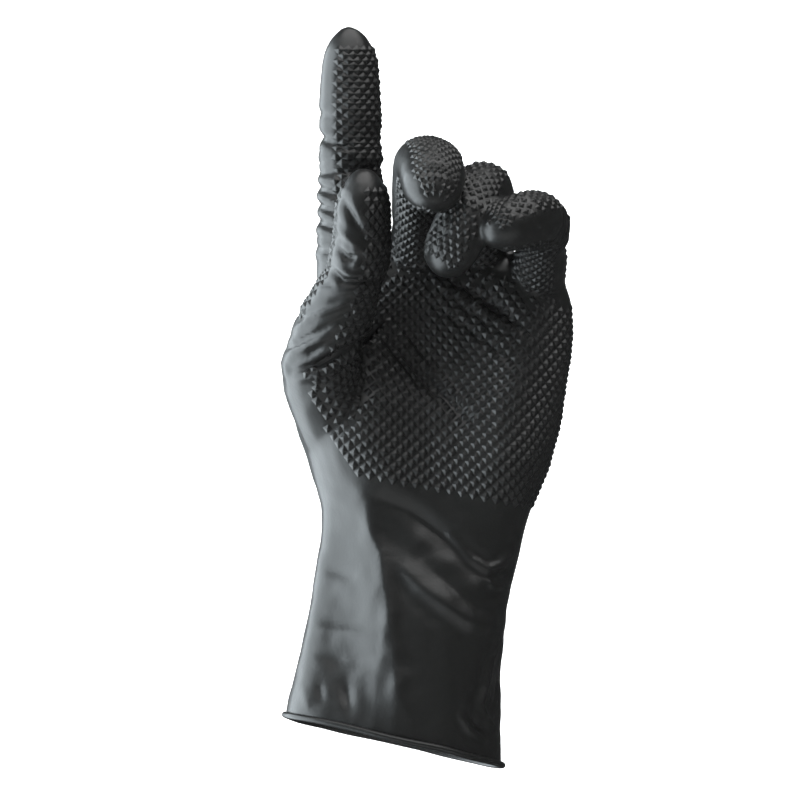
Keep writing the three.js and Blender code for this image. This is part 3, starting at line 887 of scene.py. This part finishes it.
class GripMaker:
    """Sets studs on the film where rays meet it."""

    def __init__(self, settings):
        film = bpy.data.objects["glove_film"]
        self.settings = settings
        self.tree = BVHTree.FromObject(film, bpy.context.evaluated_depsgraph_get())
        self.stud = stud_mesh()
        self.base = np.empty(len(self.stud.vertices) * 3, dtype=np.float32)
        self.stud.vertices.foreach_get("co", self.base)
        self.grip = bmesh.new()
        self.room = STUD["room"] * hypot(settings.grip_pitch / 2, settings.grip_step)
        self.taken = {}

    def hit(self, origin, way, reach):
        """Where a ray from inside meets the outside of the film, in millimetres, and the normal there."""
        start, way = Vector(origin) * MM, Vector(way).normalized()
        left = reach * MM
        while left > 0:
            spot, normal, _, gap = self.tree.ray_cast(start, way, left)
            if spot is None:
                return None
            if normal.dot(way) > OUTWARD:
                return spot, normal
            start, left = spot + way * NUDGE, left - gap - NUDGE
        return None

    def set_stud(self, spot, normal, row_way, half_row, half_step):
        """Adds a stud there, unless it would stand on one that is there already."""
        spot = spot / MM
        cell = tuple(int(value // self.room) for value in spot)
        near = [tuple(cell[axis] + shift[axis] for axis in range(3)) for shift in NEAR_CELLS]
        size = half_step / self.settings.grip_step
        room = self.room * min(size, 1)
        others = (other for key in near for other in self.taken.get(key, ()))
        if any((spot - other).length < room for other in others):
            return
        self.taken.setdefault(cell, []).append(spot)
        across = (Vector(row_way) - normal * Vector(row_way).dot(normal)).normalized()
        up = normal.cross(across)
        height = self.settings.grip_height * min(size, 1)
        turn = Matrix((across * half_row, up * half_step, normal * height)).transposed()
        place = Matrix.Translation(spot - normal * STUD["sink"]) @ turn.to_4x4()
        self.stud.vertices.foreach_set("co", self.base)
        self.stud.transform(Matrix.Scale(MM, 4) @ place)
        self.grip.from_mesh(self.stud)

    def finish(self, name):
        """Makes the studs so far a piece of the glove."""
        piece = mesh_object(name, self.grip)
        finish_piece(piece, film_material(self.settings), smooth=False)
        self.grip = bmesh.new()


def in_zone(name, turned, share):
    """True where the stall has grip, at that many degrees from the pad side and share of its length."""
    for low, high, start in GRIP_ZONES[name]:
        if share >= start and (low <= turned <= high or low <= turned - 360 <= high):
            return True
    return False


def stall_grip(maker, name):
    """Rows of studs round a stall, within its zones, and on to its rounded tip."""
    stall = STALLS[name]
    pitch, step = GRIP_SIZES[name]
    tip_start = stall.total - stall.radius * TIP_START
    end = tip_start + stall.radius * radians(GRIP_TIP_ENDS[name])
    count = round(2 * pi * stall.radius / pitch)
    row, along = 0, stall.total * STALL_START
    while along < end:
        index = min(int(np.searchsorted(stall.along, min(along, tip_start))), len(stall.along) - 1)
        centre, side, pad = stall.points[index], stall.sides[index], stall.pads[index]
        dip = max(0, along - tip_start) / stall.radius
        for number in range(count):
            angle = 2 * pi * (number + 0.5 * (row % 2)) / count
            turned = degrees(angle)
            if not in_zone(name, turned, along / stall.total):
                continue
            way = (cos(angle) * pad + sin(angle) * side) * cos(dip) + stall.tangents[index] * sin(dip)
            found = maker.hit(centre, way, stall.radius * STALL_REACH)
            if found:
                around = -sin(angle) * pad + cos(angle) * side
                maker.set_stud(*found, around, pitch * 0.5 * max(cos(dip), TIP_NARROWEST), step)
        row += 1
        along += step


def hand_row(maker, height, fall):
    """Where rays from the hand's middle meet the film all round, in one plane that falls to the right."""
    across = np.interp(height, BODY_AXIS["height"], BODY_AXIS["across"])
    back = np.interp(height, BODY_AXIS["height"], BODY_AXIS["back"])
    origin = (across, back, height - fall * across)
    found = []
    for turn in np.radians(np.arange(0, 360, 360 / RAYS_ROUND)):
        way = (sin(turn), -cos(turn), -fall * sin(turn))
        found.append(maker.hit(origin, way, HAND_REACH))
    return found


def hand_grip(maker, settings):
    """Rows of studs on the palm and the back, each row walked both ways from the middle of its side."""
    fall = tan(radians(GRIP_ROW_FALL))
    rows = [hand_row(maker, GRIP_LOWEST + row * settings.grip_step, fall) for row in range(HAND_ROWS)]
    for start, reach in ((0, PALM_REACH), (RAYS_ROUND // 2, BACK_REACH)):
        for row, found in enumerate(rows):
            turned = found[start:] + found[:start]
            walk_row(maker, turned[:reach], row, settings)
            walk_row(maker, turned[:1] + turned[:-reach:-1], row, settings)


def walk_row(maker, found, row, settings):
    """Sets studs at even distances along ray hits, which start in the middle of a side."""
    pitch, step = settings.grip_pitch, settings.grip_step
    due = pitch * (0.5 if row % 2 else 0)
    walked = 0.0
    for one, two in zip(found, found[1:]):
        if not one or not two:
            continue
        gap = (two[0] - one[0]).length / MM
        if gap > WIDEST_GAP * pitch:
            continue
        while walked <= due < walked + gap:
            share = (due - walked) / gap
            spot, normal = one[0].lerp(two[0], share), one[1].lerp(two[1], share).normalized()
            if on_hand(spot / MM, normal):
                maker.set_stud(spot, normal, two[0] - one[0], pitch * 0.5, step)
            due += pitch
        walked += gap


def on_hand(spot, normal):
    """True where the palm or the back has grip, clear of the stalls and of the band up the thumb side."""
    band = np.interp(spot.z, BARE_BAND["height"], BARE_BAND["front"])
    if normal.y < 0 and spot.x < band:
        return False
    if normal.y >= 0 and spot.x < BARE_BAND_BACK:
        return False
    owners, _, _ = owner_of(np.array([spot]))
    smooth_from = np.interp(spot.x, THENAR_SMOOTH["across"], THENAR_SMOOTH["height"])
    return owners[0] < 0 or (owners[0] == THUMB and normal.y < 0 and spot.z < smooth_from)


class GLOVE_OT_grip(bpy.types.Operator):
    """Set the raised grip on the finger stalls, the palm and the back"""

    bl_idname = "glove.grip"
    bl_label = "Grip"

    def execute(self, context):
        settings = context.scene.glove
        maker = GripMaker(settings)
        for name in STALLS:
            stall_grip(maker, name)
            maker.finish(f"glove_grip_{name}")
        hand_grip(maker, settings)
        maker.finish("glove_grip_hand")
        maker.grip.free()
        bpy.data.meshes.remove(maker.stud)
        return {"FINISHED"}


# Lights, in metres
LIGHTS = {
    "Key": {
        "place": (-0.95, 0.17, -0.1),
        "aim": (0, 0.17, -0.1),
        "size": (1.85, 1.95),
        "colour": (0.86, 0.95, 1),
    },
    "Top": {"place": (0.15, -0.25, 1), "aim": (0.05, -0.1, 0.15), "size": (1.2, 1.1), "colour": (1, 1, 1)},
    "Bounce": {"place": (0.05, -0.35, -0.2), "aim": (0, 0, 0.12), "size": (0.5, 0.3), "colour": (1, 1, 1)},
}
SKY_COLOUR = (0.95, 0.97, 1, 1)

# The view is this wide at the glove, round this place (across, up). The sensor is SENSOR millimetres wide.
VIEW_WIDTH = 0.28
VIEW_MIDDLE = (2.45 * MM, 119 * MM)
SENSOR = 36

# The floor's reach, the rise of the wall round it, and the radius and steps of the bend between them
SWEEP = {"reach": 3.2, "rise": 3, "bend": 0.8, "bend_steps": 12, "steps_round": 64}


class GLOVE_OT_stage(bpy.types.Operator):
    """Build the floor, the backdrop, the lights and the camera"""

    bl_idname = "glove.stage"
    bl_label = "Stage"

    def execute(self, context):
        stage = context.scene.glove_stage
        floor = mesh_object("floor", round_sweep(stage.floor_height))
        floor.data.materials.append(floor_material(stage))
        floor.data.shade_smooth()
        floor.visible_glossy = False
        powers = {"Key": stage.key_power, "Top": stage.top_power, "Bounce": stage.bounce_power}
        for name, power in powers.items():
            add_area(context, name, power)
        context.scene.world = bpy.data.worlds.new("Studio")
        context.scene.world.use_nodes = True
        sky = context.scene.world.node_tree.nodes["Background"]
        sky.inputs["Color"].default_value = SKY_COLOUR
        sky.inputs["Strength"].default_value = stage.sky_strength
        context.scene.view_settings.view_transform = "Standard"
        lens = bpy.data.cameras.new("Camera")
        lens.sensor_width = SENSOR
        lens.lens = SENSOR * stage.camera_distance / VIEW_WIDTH
        camera = bpy.data.objects.new("Camera", lens)
        camera.location = (VIEW_MIDDLE[0], -stage.camera_distance, VIEW_MIDDLE[1])
        camera.rotation_euler = (radians(90), 0, 0)
        context.scene.collection.objects.link(camera)
        context.scene.camera = camera
        return {"FINISHED"}


def round_sweep(height):
    """A wide floor that curves up into a wall all round."""
    sweep = bmesh.new()
    flat = SWEEP["reach"] - SWEEP["bend"]
    outline = [(0, height), (flat, height)]
    for index in range(1, SWEEP["bend_steps"] + 1):
        turn = index / SWEEP["bend_steps"] * pi / 2
        outline.append((flat + SWEEP["bend"] * sin(turn), height + SWEEP["bend"] * (1 - cos(turn))))
    outline.append((SWEEP["reach"], height + SWEEP["rise"]))
    verts = [sweep.verts.new((across, 0, up)) for across, up in outline]
    edges = [sweep.edges.new(pair) for pair in zip(verts, verts[1:])]
    bmesh.ops.spin(
        sweep,
        geom=verts + edges,
        cent=(0, 0, 0),
        axis=(0, 0, 1),
        angle=2 * pi,
        steps=SWEEP["steps_round"],
        use_merge=True,
    )
    bmesh.ops.remove_doubles(sweep, verts=sweep.verts, dist=1e-5)
    bmesh.ops.recalc_face_normals(sweep, faces=sweep.faces)
    bmesh.ops.reverse_faces(sweep, faces=sweep.faces)
    return sweep


def floor_material(stage):
    """Pale matte paper, lifted a little so that it stays plain."""
    material = bpy.data.materials.new("Floor")
    material.use_nodes = True
    shader = material.node_tree.nodes["Principled BSDF"]
    shader.inputs["Base Color"].default_value = (*stage.floor_colour, 1)
    shader.inputs["Roughness"].default_value = FLOOR_ROUGHNESS
    shader.inputs["Emission Color"].default_value = (1, 1, 1, 1)
    shader.inputs["Emission Strength"].default_value = stage.floor_lift
    return material


def add_area(context, name, power):
    """One rectangle of light from the table, turned to what it aims at."""
    row = LIGHTS[name]
    light = bpy.data.lights.new(name, "AREA")
    light.shape = "RECTANGLE"
    light.size, light.size_y = row["size"]
    light.color = row["colour"]
    light.energy = power
    lamp = bpy.data.objects.new(name, light)
    lamp.location = row["place"]
    lamp.rotation_euler = (Vector(row["aim"]) - Vector(row["place"])).to_track_quat("-Z", "Y").to_euler()
    context.scene.collection.objects.link(lamp)


class GLOVE_PT_panel(bpy.types.Panel):
    """The glove's sizes, colours and building steps"""

    bl_label = "Nitrile exam glove"
    bl_idname = "GLOVE_PT_panel"
    bl_space_type = "VIEW_3D"
    bl_region_type = "UI"
    bl_category = "Glove"

    def draw(self, context):
        column = self.layout.column()
        for settings in (context.scene.glove, context.scene.glove_stage):
            for key in settings.__annotations__:
                column.prop(settings, key)
        for step in STEPS:
            column.operator(step.bl_idname)


STEPS = (GLOVE_OT_stage, GLOVE_OT_film, GLOVE_OT_bead, GLOVE_OT_grip)
CLASSES = (GloveSettings, StageSettings, *STEPS, GLOVE_PT_panel)


def register():
    for item in CLASSES:
        bpy.utils.register_class(item)
    bpy.types.Scene.glove = bpy.props.PointerProperty(type=GloveSettings)
    bpy.types.Scene.glove_stage = bpy.props.PointerProperty(type=StageSettings)


def unregister():
    del bpy.types.Scene.glove_stage
    del bpy.types.Scene.glove
    for item in reversed(CLASSES):
        bpy.utils.unregister_class(item)


def main():
    """Builds the stage and the glove."""
    register()
    bpy.ops.glove.stage()
    bpy.ops.glove.film()
    bpy.ops.glove.bead()
    bpy.ops.glove.grip()


if __name__ == "__main__":
    main()
